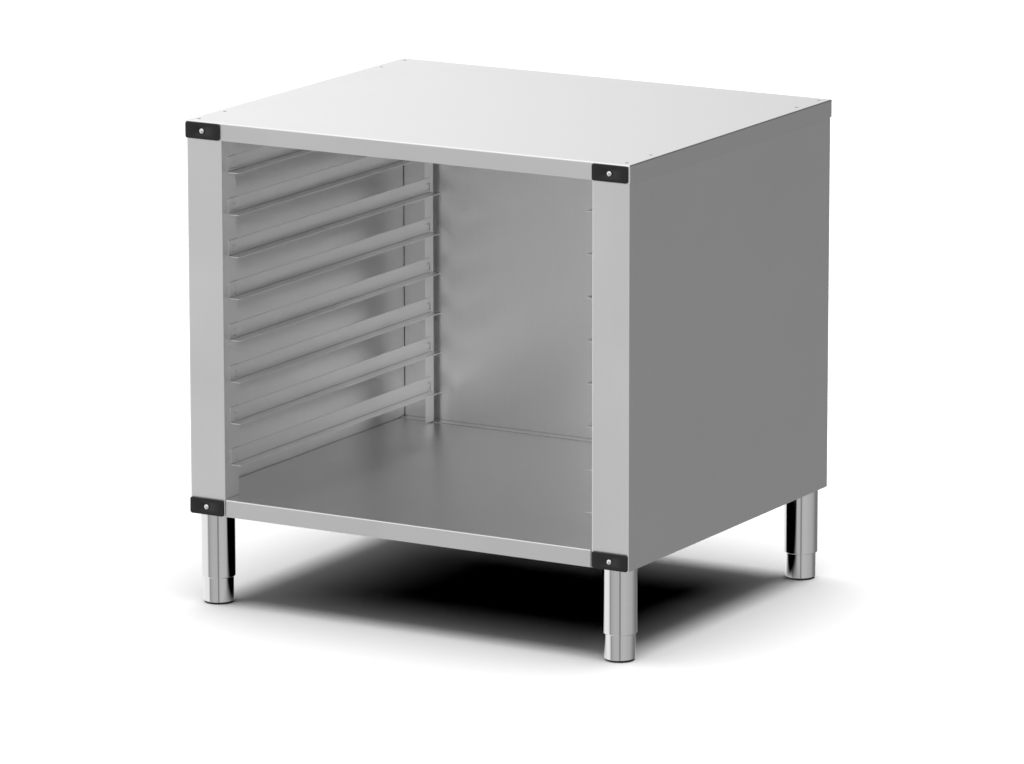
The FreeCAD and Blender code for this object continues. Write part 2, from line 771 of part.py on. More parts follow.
def make_leg(label, side, end):
    """Tube, threaded bush, spindle, foot sleeve and glide of one leg."""
    bore = s.tube_radius - s.tube_wall
    tube = turned_piece(f"leg_tube_{label}", (
        (s.lip_bore, s.tube_bottom), (s.tube_radius, s.tube_bottom), (s.tube_radius, plate_under),
        (bore, plate_under), (bore, s.tube_bottom + s.tube_lip),
        (s.lip_bore, s.tube_bottom + s.tube_lip),
    ), side, end)
    round_edges(
        tube, "rolled_edge", s.bend,
        lambda at, edge: near(at.z, s.tube_bottom) and near(edge.Curve.Radius, s.tube_radius),
    )
    hole = s.spindle_radius + s.thread_play
    turned_piece(f"leg_bush_{label}", (
        (hole, s.bush_bottom), (bore, s.bush_bottom), (bore, s.bush_bottom + s.bush_height),
        (hole, s.bush_bottom + s.bush_height),
    ), side, end)

    base_low = s.glide_height + s.glide_gap
    base_top = base_low + s.foot_base
    socket = s.pin_radius + s.thread_play
    socket_top = s.glide_height + s.pin_height + s.socket_slack
    sleeve = turned_piece(f"foot_sleeve_{label}", (
        (socket, base_low), (s.foot_radius, base_low), (s.foot_radius, s.foot_top),
        (s.foot_radius - s.foot_wall, s.foot_top), (s.foot_radius - s.foot_wall, base_top),
        (ZERO, base_top), (ZERO, socket_top), (socket, socket_top),
    ), side, end)
    round_edges(
        sleeve, "sleeve_edge", s.cap_edge,
        lambda at, edge: near(at.z, base_low) and near(edge.Curve.Radius, s.foot_radius),
    )
    tip = s.spindle_radius - s.spindle_chamfer
    turned_piece(f"foot_spindle_{label}", (
        (ZERO, base_top), (s.spindle_radius, base_top),
        (s.spindle_radius, s.spindle_top - s.spindle_chamfer), (tip, s.spindle_top),
        (ZERO, s.spindle_top),
    ), side, end)
    pin_top = s.glide_height + s.pin_height
    glide = turned_piece(f"foot_glide_{label}", (
        (ZERO, ZERO), (s.glide_radius, ZERO), (s.glide_radius, s.glide_height),
        (s.pin_radius, s.glide_height), (s.pin_radius, pin_top), (ZERO, pin_top),
    ), side, end)
    round_edges(
        glide, "glide_edge", s.cap_edge,
        lambda at, edge: near(at.z, ZERO) and near(edge.Curve.Radius, s.glide_radius),
    )


def make_stud(label, x, y):
    """A threaded stud, welded to the underside of the shelf."""
    stud = doc.addObject("Part::Cylinder", label)
    bind(stud, "Radius", s.stud_radius)
    bind(stud, "Height", s.stud_length)
    place(stud, x, y, floor_under - s.stud_length)
    sub_parts.append(stud)
    return stud


def make_nut(label, x, y):
    """A hexagon nut that clamps the leg plate."""
    hexagon = doc.addObject("Part::Prism", f"{label}_hexagon")
    hexagon.Polygon = 6
    bind(hexagon, "Circumradius", s.nut_flats / 2 / math.cos(math.pi / 6))
    bind(hexagon, "Height", s.nut_height)
    place(hexagon, x, y, plate_under - s.nut_height)
    bore = doc.addObject("Part::Cylinder", f"{label}_bore")
    bind(bore, "Radius", s.stud_radius + s.thread_play)
    bind(bore, "Height", s.nut_height)
    place(bore, x, y, plate_under - s.nut_height)
    nut = doc.addObject("Part::Cut", label)
    nut.Base = hexagon
    nut.Tool = bore
    sub_parts.append(nut)
    return nut


# ---------------------------------------------------------------- the whole stand

def make_cabinet():
    """Top, sides, back, shelf and their stiffeners."""
    make_top_panel()
    rib_half = inner_side - s.top_sheet
    for name, end in ENDS:
        make_stiffener(f"top_stiffener_{name}", end * s.hat_offset, top_under, rib_half)
    for name, side in SIDES:
        make_side_panel(name, side)
    make_back_panel()
    make_shelf()
    make_stiffener("shelf_stiffener", ZERO, floor_under, rib_half - s.sheet)


def make_runner_racks():
    """Rear posts and the runners of both sides."""
    for name, side in SIDES:
        make_rear_post(name, side)
        for row in range(round(s.runner_count.value)):
            make_runner(name, side, row)


def make_front_caps():
    """The four caps and their screws."""
    for level, height, back in (("top", top_cap_height, top_front),
                                ("bottom", low_cap_height, face_front)):
        for name, side in SIDES:
            make_cap(f"corner_cap_{level}_{name}", side, height, back)
    make_cap_screws()


def make_legs():
    """The four legs, and the studs and nuts that hold them."""
    studs = []
    nuts = []
    for end_name, end in ENDS:
        for side_name, side in SIDES:
            label = f"{end_name}_{side_name}"
            make_leg_plate(label, side, end)
            make_leg(label, side, end)
            for number, (x, y) in enumerate(stud_places(side, end), start=1):
                studs.append(make_stud(f"leg_stud_{label}_{number}", x, y))
                nuts.append(make_nut(f"leg_nut_{label}_{number}", x, y))
    gather("leg_studs", studs)
    gather("leg_nuts", nuts)


def write_steps():
    """Check every object, then write one STEP file for every sub-part."""
    doc.recompute()
    for thing in doc.Objects:
        if "Invalid" in thing.State or "Error" in thing.State:
            raise RuntimeError(f"{thing.Label} failed: {thing.State}")
    for part in sub_parts:
        if part.Shape.isNull() or not part.Shape.isValid() or part.Shape.Volume <= 0:
            raise RuntimeError(f"{part.Label} has no valid solid")
    os.makedirs("parts", exist_ok=True)
    for part in sub_parts:
        part.Shape.exportStep(f"parts/{part.Label}.step")
        print(f"{part.Label}: {len(part.Shape.Solids)} solid(s), {part.Shape.Volume / 1000:.1f} cm3")
    print(len(sub_parts), "sub-parts")


make_cabinet()
make_runner_racks()
make_front_caps()
make_back_rivets()
make_legs()
write_steps()
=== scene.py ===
# %% [markdown]
# # A stand for a combi steamer oven
# The real object is an open-front cabinet on four legs, folded from stainless sheet,
# with eight pairs of tray runners inside. The CAD model already holds every sheet at
# its true size, so this lesson keeps those meshes and gives them their brushed finish.
# It makes anew only what turning, moulding and threading shaped: legs, feet, caps,
# screws, rivets, studs and nuts. We load the model first and keep its outer box.

# %% Load the frame
import math

import bmesh
import bpy
import numpy as np
from mathutils import Matrix, Vector


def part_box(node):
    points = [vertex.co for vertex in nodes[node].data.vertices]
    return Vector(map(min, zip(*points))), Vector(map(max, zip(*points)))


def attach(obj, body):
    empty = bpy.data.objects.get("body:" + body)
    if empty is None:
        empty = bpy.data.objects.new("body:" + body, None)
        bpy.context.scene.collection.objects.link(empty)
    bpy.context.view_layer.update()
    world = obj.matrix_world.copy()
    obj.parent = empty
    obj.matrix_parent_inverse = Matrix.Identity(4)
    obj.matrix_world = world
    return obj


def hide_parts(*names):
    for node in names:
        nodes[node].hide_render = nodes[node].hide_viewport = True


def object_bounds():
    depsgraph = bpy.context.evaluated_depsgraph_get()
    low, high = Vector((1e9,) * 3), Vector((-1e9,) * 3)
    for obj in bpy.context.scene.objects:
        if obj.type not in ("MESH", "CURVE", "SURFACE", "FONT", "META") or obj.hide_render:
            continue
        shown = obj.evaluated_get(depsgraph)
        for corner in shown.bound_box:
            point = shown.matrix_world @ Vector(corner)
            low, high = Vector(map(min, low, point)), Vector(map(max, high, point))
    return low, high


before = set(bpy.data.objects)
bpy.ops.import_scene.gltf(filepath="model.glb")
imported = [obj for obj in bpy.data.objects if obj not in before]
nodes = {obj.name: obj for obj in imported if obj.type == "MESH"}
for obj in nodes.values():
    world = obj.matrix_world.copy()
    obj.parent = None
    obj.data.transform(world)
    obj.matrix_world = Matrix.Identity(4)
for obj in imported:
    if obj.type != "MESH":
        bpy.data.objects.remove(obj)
cad_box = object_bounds()

# %% [markdown]
# ## Where the camera stands
# A long lens from almost ten metres keeps the upright edges nearly parallel. The camera
# looks down by about twelve degrees and from thirty degrees to the right of the front.
# Its matrix is built from three directions, right, up and back, which is safer than
# three angles whose order has to be remembered.

# %% Camera
CAMERA_PLACE = Vector((4.848, -8.371, 2.446))
CAMERA_AZIMUTH, CAMERA_ELEVATION, CAMERA_ROLL = 30.065, 12.412, -0.074
LENS_MM, SENSOR_MM = 234.8, 36.0


def make_camera():
    """A camera whose back direction is (sin a cos e, -cos a cos e, sin e), for azimuth a
    and elevation e, with its right and up directions turned by the roll."""
    azimuth, elevation, roll = map(
        math.radians, (CAMERA_AZIMUTH, CAMERA_ELEVATION, CAMERA_ROLL))
    back = Vector((math.sin(azimuth) * math.cos(elevation),
                   -math.cos(azimuth) * math.cos(elevation), math.sin(elevation)))
    right = Vector((math.cos(azimuth), math.sin(azimuth), 0.0))
    turned = Matrix.Rotation(roll, 3, back) @ right
    axes = Matrix((turned, back.cross(turned), back)).transposed()
    data = bpy.data.cameras.new("camera")
    data.lens, data.sensor_width = LENS_MM, SENSOR_MM
    data.clip_start, data.clip_end = 0.1, 200.0
    camera = bpy.data.objects.new("camera", data)
    camera.matrix_world = Matrix.Translation(CAMERA_PLACE) @ axes.to_4x4()
    bpy.context.scene.collection.objects.link(camera)
    return camera


bpy.context.scene.camera = make_camera()
bpy.context.scene.view_settings.view_transform = "Standard"
print("camera at", tuple(round(v, 3) for v in CAMERA_PLACE))

# %% [markdown]
# ## Helpers for materials
# Every finish here is a small node tree. One function turns a hex colour, as a paint
# chart gives it, into the linear light that a shader needs. Another adds a node, sets
# its values and joins its inputs, so a tree reads from top to bottom like a recipe.

# %% Colours and nodes
MM = 0.001


def linear(hex_colour):
    """Linear RGBA of an sRGB hex colour: each channel c becomes c / 12.92 when small,
    and otherwise ((c + 0.055) / 1.055) to the power 2.4."""
    channels = np.array([int(hex_colour[i:i + 2], 16) / 255 for i in (1, 3, 5)])
    curve = ((channels + 0.055) / 1.055) ** 2.4
    return (*np.where(channels <= 0.04045, channels / 12.92, curve), 1.0)


def add(tree, kind, links=None, **settings):
    """Add a node of this kind to the tree. A setting is an attribute of the node, or the
    default value of an input when its key starts with in_; links join inputs to outputs."""
    node = tree.nodes.new(kind)
    for key, value in settings.items():
        if not key.startswith("in_"):
            setattr(node, key, value)
    for key, value in settings.items():
        if key.startswith("in_"):
            name = key[3:].replace("_", " ")
            node.inputs[int(name) if name.isdigit() else name].default_value = value
    for key, output in (links or {}).items():
        tree.links.new(output, node.inputs[key])
    return node


def new_material(name, **shader):
    """A material with an output and a Principled shader, whose sockets take the given
    constants. It returns the material, its tree and the shader."""
    material = bpy.data.materials.new(name)
    material.use_nodes = True
    tree = material.node_tree
    tree.nodes.clear()
    principled = add(tree, "ShaderNodeBsdfPrincipled")
    for key, value in shader.items():
        principled.inputs[key.replace("_", " ")].default_value = value
    add(tree, "ShaderNodeOutputMaterial", {"Surface": principled.outputs["BSDF"]})
    return material, tree, principled


print("mid grey #808080 is", round(linear("#808080")[0], 3), "in linear light")

# %% [markdown]
# ## Brushed stainless sheet
# Catering sheet is 1.4301 stainless ground with a fine belt. The belt leaves scratches
# that run one way and are about a tenth of a millimetre apart. To the eye they blur
# reflections, and they leave faint streaks along the grain. The streaks are noise that
# is squeezed across the grain and stretched along it, in metres on Object coordinates.
# A wider, cloudier noise stands for the belt's uneven pressure. Painted shade: the tone
# darkens where the ambient occlusion node finds other sheets close by, in seams and
# corners, and a little in the deep recess between the runners.

# %% The brushed finish
GRAIN_WIDTH, GRAIN_LENGTH = 1.2 * MM, 90 * MM       # drawn wider than the real 0.1 mm to show
CLOUD_SIZE = 140 * MM
RIDGE_DEPTH = 0.02 * MM
# Painted shade: ambient occlusion mixes a dark tone into the steel near seams and in deep
# recesses, where shade falls.
SEAM_SHADE_REACH, SEAM_SHADE_SHARE = 3.5 * MM, 0.30             # near a seam this share of the tone is left
RECESS_SHADE_REACH, RECESS_SHADE_SHARE = 60 * MM, 0.88          # and this share in a deep recess
PAINTED_SHADE_TONE = "#3A3A3A"


def brushed_steel(name, tone, along, roughness, streak=0.035, cloud=0.04):
    """Brushed stainless whose grain runs along x, y or z. Streaks change the tone and
    the roughness by a few hundredths, clouds only the roughness. As painted shade, seams
    and deep recesses mix in a dark tone, by the share of open sky over the point."""
    material, tree, steel = new_material(name, Metallic=1.0)
    where = add(tree, "ShaderNodeTexCoord").outputs["Object"]
    squeeze = [1 / GRAIN_WIDTH] * 3
    squeeze["xyz".index(along)] = 1 / GRAIN_LENGTH
    mapped = add(tree, "ShaderNodeMapping", {"Vector": where}, in_Scale=squeeze)
    grain = add(tree, "ShaderNodeTexNoise", {"Vector": mapped.outputs["Vector"]},
                in_Scale=1.0, in_Detail=3.0, in_Roughness=0.6)
    clouds = add(tree, "ShaderNodeTexNoise", {"Vector": where},
                 in_Scale=1 / CLOUD_SIZE, in_Detail=2.0, in_Roughness=0.5)
    pale, dark = linear(tone), [c * (1 - 2 * streak) for c in linear(tone)[:3]] + [1.0]
    tint = add(tree, "ShaderNodeMix", {"Factor": grain.outputs["Fac"]}, data_type="RGBA",
               in_6=pale, in_7=dark)
    worn = add(tree, "ShaderNodeMapRange", {"Value": clouds.outputs["Fac"]},
               in_3=-cloud, in_4=cloud)
    rough = add(tree, "ShaderNodeMapRange", {"Value": grain.outputs["Fac"]},
                in_3=roughness - streak, in_4=roughness + streak)
    both = add(tree, "ShaderNodeMath", {0: rough.outputs["Result"], 1: worn.outputs["Result"]},
               operation="ADD")
    ridges = add(tree, "ShaderNodeBump", {"Height": grain.outputs["Fac"]},
                 in_Strength=0.12, in_Distance=RIDGE_DEPTH)
    # Painted shade: these two occlusion nodes darken the tone in seams and in the recess between
    # the runners.
    seam_occlusion = add(tree, "ShaderNodeAmbientOcclusion", samples=6, in_Distance=SEAM_SHADE_REACH)
    seam_shade = add(tree, "ShaderNodeMapRange", {"Value": seam_occlusion.outputs["AO"]},
               in_1=0.25, in_2=0.75, in_3=SEAM_SHADE_SHARE, in_4=1.0)
    recess_occlusion = add(tree, "ShaderNodeAmbientOcclusion", samples=4, in_Distance=RECESS_SHADE_REACH)
    shade = add(tree, "ShaderNodeMapRange", {"Value": recess_occlusion.outputs["AO"]},
                in_1=0.2, in_2=0.8, in_3=RECESS_SHADE_SHARE, in_4=1.0)
    unshaded_share = add(tree, "ShaderNodeMath", {0: seam_shade.outputs["Result"], 1: shade.outputs["Result"]},
                operation="MULTIPLY")
    shade_tinted = add(tree, "ShaderNodeMix", {"Factor": unshaded_share.outputs["Value"], 7: tint.outputs[2]},
                 data_type="RGBA", in_6=linear(PAINTED_SHADE_TONE))
    tree.links.new(shade_tinted.outputs[2], steel.inputs["Base Color"])
    tree.links.new(both.outputs["Value"], steel.inputs["Roughness"])
    tree.links.new(ridges.outputs["Normal"], steel.inputs["Normal"])
    return material


finishes = {
    "top_across": brushed_steel("belt_ground_stainless_top", "#F6F6F6", "x", 0.30),
    "sheet_upright": brushed_steel("belt_ground_stainless_upright", "#F6F6F6", "z", 0.34),
    "sheet_across": brushed_steel("belt_ground_stainless_across", "#F6F6F6", "x", 0.34),
    "sheet_deep": brushed_steel("belt_ground_stainless_deep", "#F6F6F6", "y", 0.34),
    # The shelf's darker tone is painted shade, for the shade inside the cabinet.
    "shelf_across_shaded": brushed_steel("belt_ground_stainless_shelf_shaded", "#ECECEC", "x", 0.34),
}
print("brushed finishes:", ", ".join(m.name for m in finishes.values()))

# %% [markdown]
# ## Which sheet has which grain
# A sheet is cut from the coil with its grain along its longer side. So the top, the
# shelf and the rails have it from side to side, the sides and the back have it upright,
# and each runner has it from front to rear. The shelf has a darker tone as painted shade,
# for the shade inside the cabinet. The CAD meshes stay as they are: only the material in their
# slots changes.

# %% Give the sheets their finish
def grain_of(node):
    """The finish of a sheet part, from its name."""
    if node == "top_panel":
        return "top_across"
    if node.startswith("tray_runner"):
        return "sheet_deep"
    if node == "bottom_shelf":
        return "shelf_across_shaded"
    if node.startswith(("shelf_stiffener", "top_stiffener")):
        return "sheet_across"
    return "sheet_upright"


def dress(node, material):
    """Put the material in every slot of a CAD node."""
    mesh = nodes[node].data
    mesh.materials.clear()
    mesh.materials.append(material)


SHEETS = ("top_", "side_", "back_panel", "bottom_shelf", "shelf_", "rear_post", "tray_runner")
sheet_nodes = [n for n in nodes if n.startswith(SHEETS)]
for node in sheet_nodes:
    dress(node, finishes[grain_of(node)])
print(len(sheet_nodes), "sheet parts have a brushed finish")

# %% [markdown]
# ## Polished tube, moulded plastic and plated steel
# The legs are mirror-polished stainless tube, so they show sharp upright bands of the
# room. The caps are moulded black polyamide with a fine spark-eroded texture, which
# gives a soft sheen. The plates, studs and nuts under the shelf are zinc plated: grey,
# a little mottled, and duller than stainless.

# %% Smaller finishes
POLISH_RING = 0.9 * MM                              # rings left by the polishing belt
SPARK_GRAIN = 0.7 * MM                              # texture eroded into the mould
ZINC_SPANGLE = 2.5 * MM                             # mottling of the zinc layer


def polished_steel(name, tone, roughness):
    """Mirror-polished stainless with faint rings round the tube, which only change the
    roughness: noise squeezed along z."""
    material, tree, steel = new_material(name, Metallic=1.0)
    where = add(tree, "ShaderNodeTexCoord").outputs["Object"]
    squeeze = add(tree, "ShaderNodeMapping", {"Vector": where},
                  in_Scale=(20.0, 20.0, 1 / POLISH_RING))
    rings = add(tree, "ShaderNodeTexNoise", {"Vector": squeeze.outputs["Vector"]},
                in_Scale=1.0, in_Detail=2.0)
    rough = add(tree, "ShaderNodeMapRange", {"Value": rings.outputs["Fac"]},
                in_3=roughness * 0.6, in_4=roughness * 1.4)
    tint = add(tree, "ShaderNodeMix", {"Factor": rings.outputs["Fac"]}, data_type="RGBA",
               in_6=linear(tone), in_7=[c * 0.94 for c in linear(tone)[:3]] + [1.0])
    tree.links.new(tint.outputs[2], steel.inputs["Base Color"])
    tree.links.new(rough.outputs["Result"], steel.inputs["Roughness"])
    return material


def grained(name, tone, second_tone, grain, depth, roughness, **shader):
    """A surface with an even, undirected grain: noise of that size mixes two tones, moves
    the roughness a little and raises bumps of that depth."""
    material, tree, body = new_material(name, **shader)
    where = add(tree, "ShaderNodeTexCoord").outputs["Object"]
    noise = add(tree, "ShaderNodeTexNoise", {"Vector": where}, in_Scale=1 / grain,
                in_Detail=3.0, in_Roughness=0.55)
    tint = add(tree, "ShaderNodeMix", {"Factor": noise.outputs["Fac"]}, data_type="RGBA",
               in_6=linear(tone), in_7=linear(second_tone))
    rough = add(tree, "ShaderNodeMapRange", {"Value": noise.outputs["Fac"]},
                in_3=roughness - 0.06, in_4=roughness + 0.06)
    bumps = add(tree, "ShaderNodeBump", {"Height": noise.outputs["Fac"]},
                in_Strength=0.35, in_Distance=depth)
    tree.links.new(tint.outputs[2], body.inputs["Base Color"])
    tree.links.new(rough.outputs["Result"], body.inputs["Roughness"])
    tree.links.new(bumps.outputs["Normal"], body.inputs["Normal"])
    return material


finishes["tube"] = polished_steel("mirror_polished_stainless", "#E2E2E2", 0.07)
finishes["screw"] = polished_steel("tumbled_stainless", "#E8E8E8", 0.16)
finishes["cap"] = grained("moulded_black_polyamide", "#080808", "#0D0D0D", SPARK_GRAIN,
                          0.05 * MM, 0.38, IOR=1.53)
finishes["glide"] = grained("moulded_black_polyethylene", "#1B1B1B", "#232323", SPARK_GRAIN,
                            0.05 * MM, 0.5, IOR=1.51)
finishes["zinc"] = grained("zinc_plated_steel", "#A9ABAD", "#8E9194", ZINC_SPANGLE,
                           0.03 * MM, 0.38, Metallic=1.0)
print("all finishes:", ", ".join(finishes))

# %% [markdown]
# ## Surfaces from two parameters
# A turned piece is a profile carried round an axis: its points are a function of the
# place along the profile and of the angle. We work all of them out at once as numpy
# arrays and hand them to the mesh. Rings at the axis shrink to one point, so doubles are
# merged there, and the normals are recalculated after that.

# %% Mesh helpers
ROUND_STEPS = 96                                    # corners round a leg tube


def grid_faces(rows, columns, first=0, loop_rows=False):
    """Four-cornered faces of a grid of points numbered row by row and closed round its
    columns: point (i, j), (i, j + 1), (i + 1, j + 1), (i + 1, j)."""
    i = np.arange(rows if loop_rows else rows - 1)[:, None]
    j = np.arange(columns)[None, :]
    low, high = i * columns, ((i + 1) % rows) * columns
    right = (j + 1) % columns
    return first + np.stack([low + j, low + right, high + right, high + j], -1).reshape(-1, 4)


def make_piece(name, grids, material, body, stands_for):
    """One mesh from several grids of points, each (points[rows, columns, 3], loop_rows).
    It rides on the body, and stands for the CAD nodes named."""
    points, faces, first = [], [], 0
    for grid, loop_rows in grids:
        rows, columns = grid.shape[:2]
        points.append(grid.reshape(-1, 3))
        faces.append(grid_faces(rows, columns, first, loop_rows))
        first += rows * columns
    mesh = bpy.data.meshes.new(name)
    mesh.from_pydata(np.concatenate(points).tolist(), [], np.concatenate(faces).tolist())
    shell = bmesh.new()
    shell.from_mesh(mesh)
    bmesh.ops.remove_doubles(shell, verts=shell.verts, dist=1e-7)
    bmesh.ops.dissolve_degenerate(shell, edges=shell.edges, dist=1e-7)
    bmesh.ops.recalc_face_normals(shell, faces=shell.faces)
    shell.to_mesh(mesh)
    shell.free()
    mesh.materials.append(material)
    piece = bpy.data.objects.new(name, mesh)
    bpy.context.scene.collection.objects.link(piece)
    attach(piece, body)
    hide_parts(*stands_for)
    return piece


def soften(piece, degrees=32.0):
    """Shade the piece smooth, except over edges sharper than this angle."""
    piece.data.shade_smooth()
    shell = bmesh.new()
    shell.from_mesh(piece.data)
    for edge in shell.edges:
        edge.smooth = edge.calc_face_angle(0.0) < math.radians(degrees)
    shell.to_mesh(piece.data)
    shell.free()
    return piece


def rounded(corners, steps=6):
    """Profile through corners (radius, height, rounding) in millimetres. A rounding r
    puts in an arc: it starts and ends at r / tan(half the corner's angle) from the
    corner, and is drawn as points of a circle about the arc's centre."""
    profile = []
    last = len(corners) - 1
    for k, (x, z, size) in enumerate(corners):
        here = np.array((x, z), float)
        if size == 0 or k in (0, last):
            profile.append(here)
            continue
        before = np.array(corners[k - 1][:2], float) - here
        after = np.array(corners[k + 1][:2], float) - here
        before, after = before / np.hypot(*before), after / np.hypot(*after)
        half = math.acos(np.clip(before @ after, -1, 1)) / 2
        middle = (before + after) / np.hypot(*(before + after))
        centre = here + middle * size / math.sin(half)
        start = here + before * size / math.tan(half) - centre
        end = here + after * size / math.tan(half) - centre
        share = np.linspace(0, 1, steps + 1)[:, None]
        chord = start * (1 - share) + end * share
        profile.extend(centre + size * chord / np.linalg.norm(chord, axis=1)[:, None])
    return np.array(profile)


def turned(profile, axis=(0.0, 0.0), columns=ROUND_STEPS, turn=0.0):
    """Grid of a profile (radius, height) in millimetres carried round an upright axis at
    (x, y) in metres: x + radius cos t, y + radius sin t, height."""
    t = np.linspace(0, 2 * math.pi, columns, endpoint=False)[None, :] + turn
    radius, height = profile[:, :1] * MM, profile[:, 1:] * MM
    return np.stack([axis[0] + radius * np.cos(t), axis[1] + radius * np.sin(t),
                     height + 0 * t], -1)


print("a grid of 3 rows and 4 columns has", len(grid_faces(3, 4)), "faces")

# %% [markdown]
# ## The four leg tubes
# Each leg is a length of 2 inch tube with a 1.5 mm wall. Its upper end is welded to a
# square plate, and its lower end is rolled inwards, so that it guides the foot. The
# profile runs down the outside, round the rolled edge, and up the inside, and a small
# fillet weld closes the joint under the plate.

# %% Leg tubes
LEGS = ("front_left", "front_right", "rear_left", "rear_right")
TUBE_R, TUBE_WALL, LIP_BORE, LIP_HEIGHT = 25.4, 1.5, 23.1, 3.0
WELD = 2.6


def axis_of(node):
    """The x and y of an upright round part, from the middle of its box."""
    low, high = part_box(node)
    return ((low + high) / 2)[:2]


def leg_tube_profile(bottom, top):
    """Inside edge of the flat upper end, a fillet weld, the outside, the rolled lip and
    the inside."""
    inside = TUBE_R - TUBE_WALL
    return rounded([
        (inside, top, 0), (TUBE_R + WELD, top, 0), (TUBE_R + WELD * 0.45, top - WELD * 0.55, 1.2),
        (TUBE_R, top - WELD, 0), (TUBE_R, bottom, 2.0), (LIP_BORE, bottom, 0.5),
        (LIP_BORE, bottom + LIP_HEIGHT, 0.4), (inside, bottom + LIP_HEIGHT, 0), (inside, top, 0),
    ])


for leg in LEGS:
    low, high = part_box(f"leg_tube_{leg}")
    outline = leg_tube_profile(low.z / MM, high.z / MM)
    tube = make_piece(f"tube_{leg}", [(turned(outline, axis_of(f"leg_tube_{leg}")), False)],
                      finishes["tube"], "cabinet", [f"leg_tube_{leg}"])
    soften(tube)
    print(tube.name, "from", round(low.z / MM), "to", round(high.z / MM), "mm")

# %% [markdown]
# ## The screw feet
# A foot is three things: a polished sleeve that slides in the tube, a threaded spindle
# inside it, and a plastic glide that stays still on the floor while the sleeve turns.
# The thread is a cylinder whose radius falls and rises with the height less a share of
# the angle, so its crest climbs one pitch in a turn. Both ends of each profile are
# closed at the axis.

# %% Foot sleeves, spindles and glides
FOOT_R, FOOT_WALL, FOOT_BASE = 22.7, 2.0, 6.0
SPINDLE_R, SPINDLE_PITCH, SPINDLE_DEPTH = 8.0, 2.0, 1.1
GLIDE_R, GLIDE_HEIGHT, GLIDE_RING, GLIDE_HOLLOW = 21.5, 3.0, 3.0, 0.25
PIN_R, SOCKET_PLAY, SOCKET_DEPTH = 4.0, 0.05, 3.9
THREAD_STEPS, THREAD_ROWS = 28, 6                   # corners round, rows in one pitch


def threaded(radius, bottom, top, pitch, depth, axis, columns=THREAD_STEPS):
    """Grid of a threaded rod: radius r - depth * w, where w goes 0, 1, 0 as a triangle
    wave of (height / pitch - t / full turn). A chamfer at each end narrows it."""
    rows = int((top - bottom) / pitch * THREAD_ROWS) + 1
    z = np.linspace(bottom, top, rows)[:, None]
    t = np.linspace(0, 2 * math.pi, columns, endpoint=False)[None, :]
    phase = (z / pitch - t / (2 * math.pi)) % 1.0
    wave = np.clip(1.6 * np.abs(2 * phase - 1) - 0.3, 0, 1)
    chamfer = radius - depth + np.minimum(z - bottom, top - z)
    r = np.minimum(radius - depth * wave, chamfer) * MM
    rod = np.stack([axis[0] + r * np.cos(t), axis[1] + r * np.sin(t), z * MM + 0 * t], -1)
    middle = np.array([axis[0], axis[1]])
    ends = [np.broadcast_to([*middle, h * MM], (1, columns, 3)) for h in (bottom, top)]
    return np.concatenate([ends[0], rod, ends[1]])


for leg in LEGS:
    axis = axis_of(f"foot_sleeve_{leg}")
    low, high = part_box(f"foot_sleeve_{leg}")
    bottom, top = low.z / MM, high.z / MM
    socket = PIN_R + SOCKET_PLAY
    roof = bottom + SOCKET_DEPTH
    sleeve = make_piece(f"sleeve_{leg}", [(turned(rounded([
        (0, roof, 0), (socket, roof, 0), (socket, bottom, 0.3), (FOOT_R, bottom, 0.8),
        (FOOT_R, top, 0.5), (FOOT_R - FOOT_WALL, top, 0.5),
        (FOOT_R - FOOT_WALL, bottom + FOOT_BASE, 1.0), (0, bottom + FOOT_BASE, 0),
    ]), axis), False)], finishes["tube"], f"{leg}_foot",
        [f"foot_sleeve_{leg}"])
    soften(sleeve)
    low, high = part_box(f"foot_spindle_{leg}")
    spindle = make_piece(f"spindle_{leg}", [(threaded(
        SPINDLE_R, low.z / MM, high.z / MM, SPINDLE_PITCH, SPINDLE_DEPTH, axis), False)],
        finishes["zinc"], f"{leg}_foot", [f"foot_spindle_{leg}"])
    soften(spindle, 50)
    pin_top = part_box(f"foot_glide_{leg}")[1].z / MM
    glide = make_piece(f"glide_{leg}", [(turned(rounded([
        (0, GLIDE_HOLLOW, 0), (GLIDE_R - GLIDE_RING - 0.5, GLIDE_HOLLOW, 0.2),
        (GLIDE_R - GLIDE_RING, 0, 0.2), (GLIDE_R, 0, 0.8),
        (GLIDE_R, GLIDE_HEIGHT, 0.4), (PIN_R, GLIDE_HEIGHT, 0), (PIN_R, pin_top, 0.5),
        (0, pin_top, 0),
    ]), axis), False)], finishes["glide"], f"{leg}_glide",
        [f"foot_glide_{leg}"])
    soften(glide)
print("spindle has", len(spindle.data.polygons), "faces, sleeve", len(sleeve.data.polygons))

# %% [markdown]
# ## The corner caps
# Black moulded plates cover the corners where stile and rail meet. Seen from the front a
# cap is a rectangle with rounded corners, and its front edge is rounded all round. One
# angle gives a point on the screw hole and a point on the outline. Rings between the
# two, some pulled in and some moved forward, make the plate, the soft edge and the back.

# %% Corner caps
CAP_CORNER, CAP_EDGE, CAP_SINK = 3.5, 0.8, 0.35
HOLE_R, SINK_R = 2.1, 5.4
CAP_STEPS = 96
CORNERS = ("top_left", "top_right", "bottom_left", "bottom_right")


def rounded_rectangle(width, height, corner, inset, t):
    """Points of a rounded rectangle by angle t: the nearest corner's centre, plus the
    corner radius less the inset times (cos t, sin t)."""
    across = np.sign(np.cos(t)) * (width / 2 - corner) + (corner - inset) * np.cos(t)
    up = np.sign(np.sin(t)) * (height / 2 - corner) + (corner - inset) * np.sin(t)
    return across, up


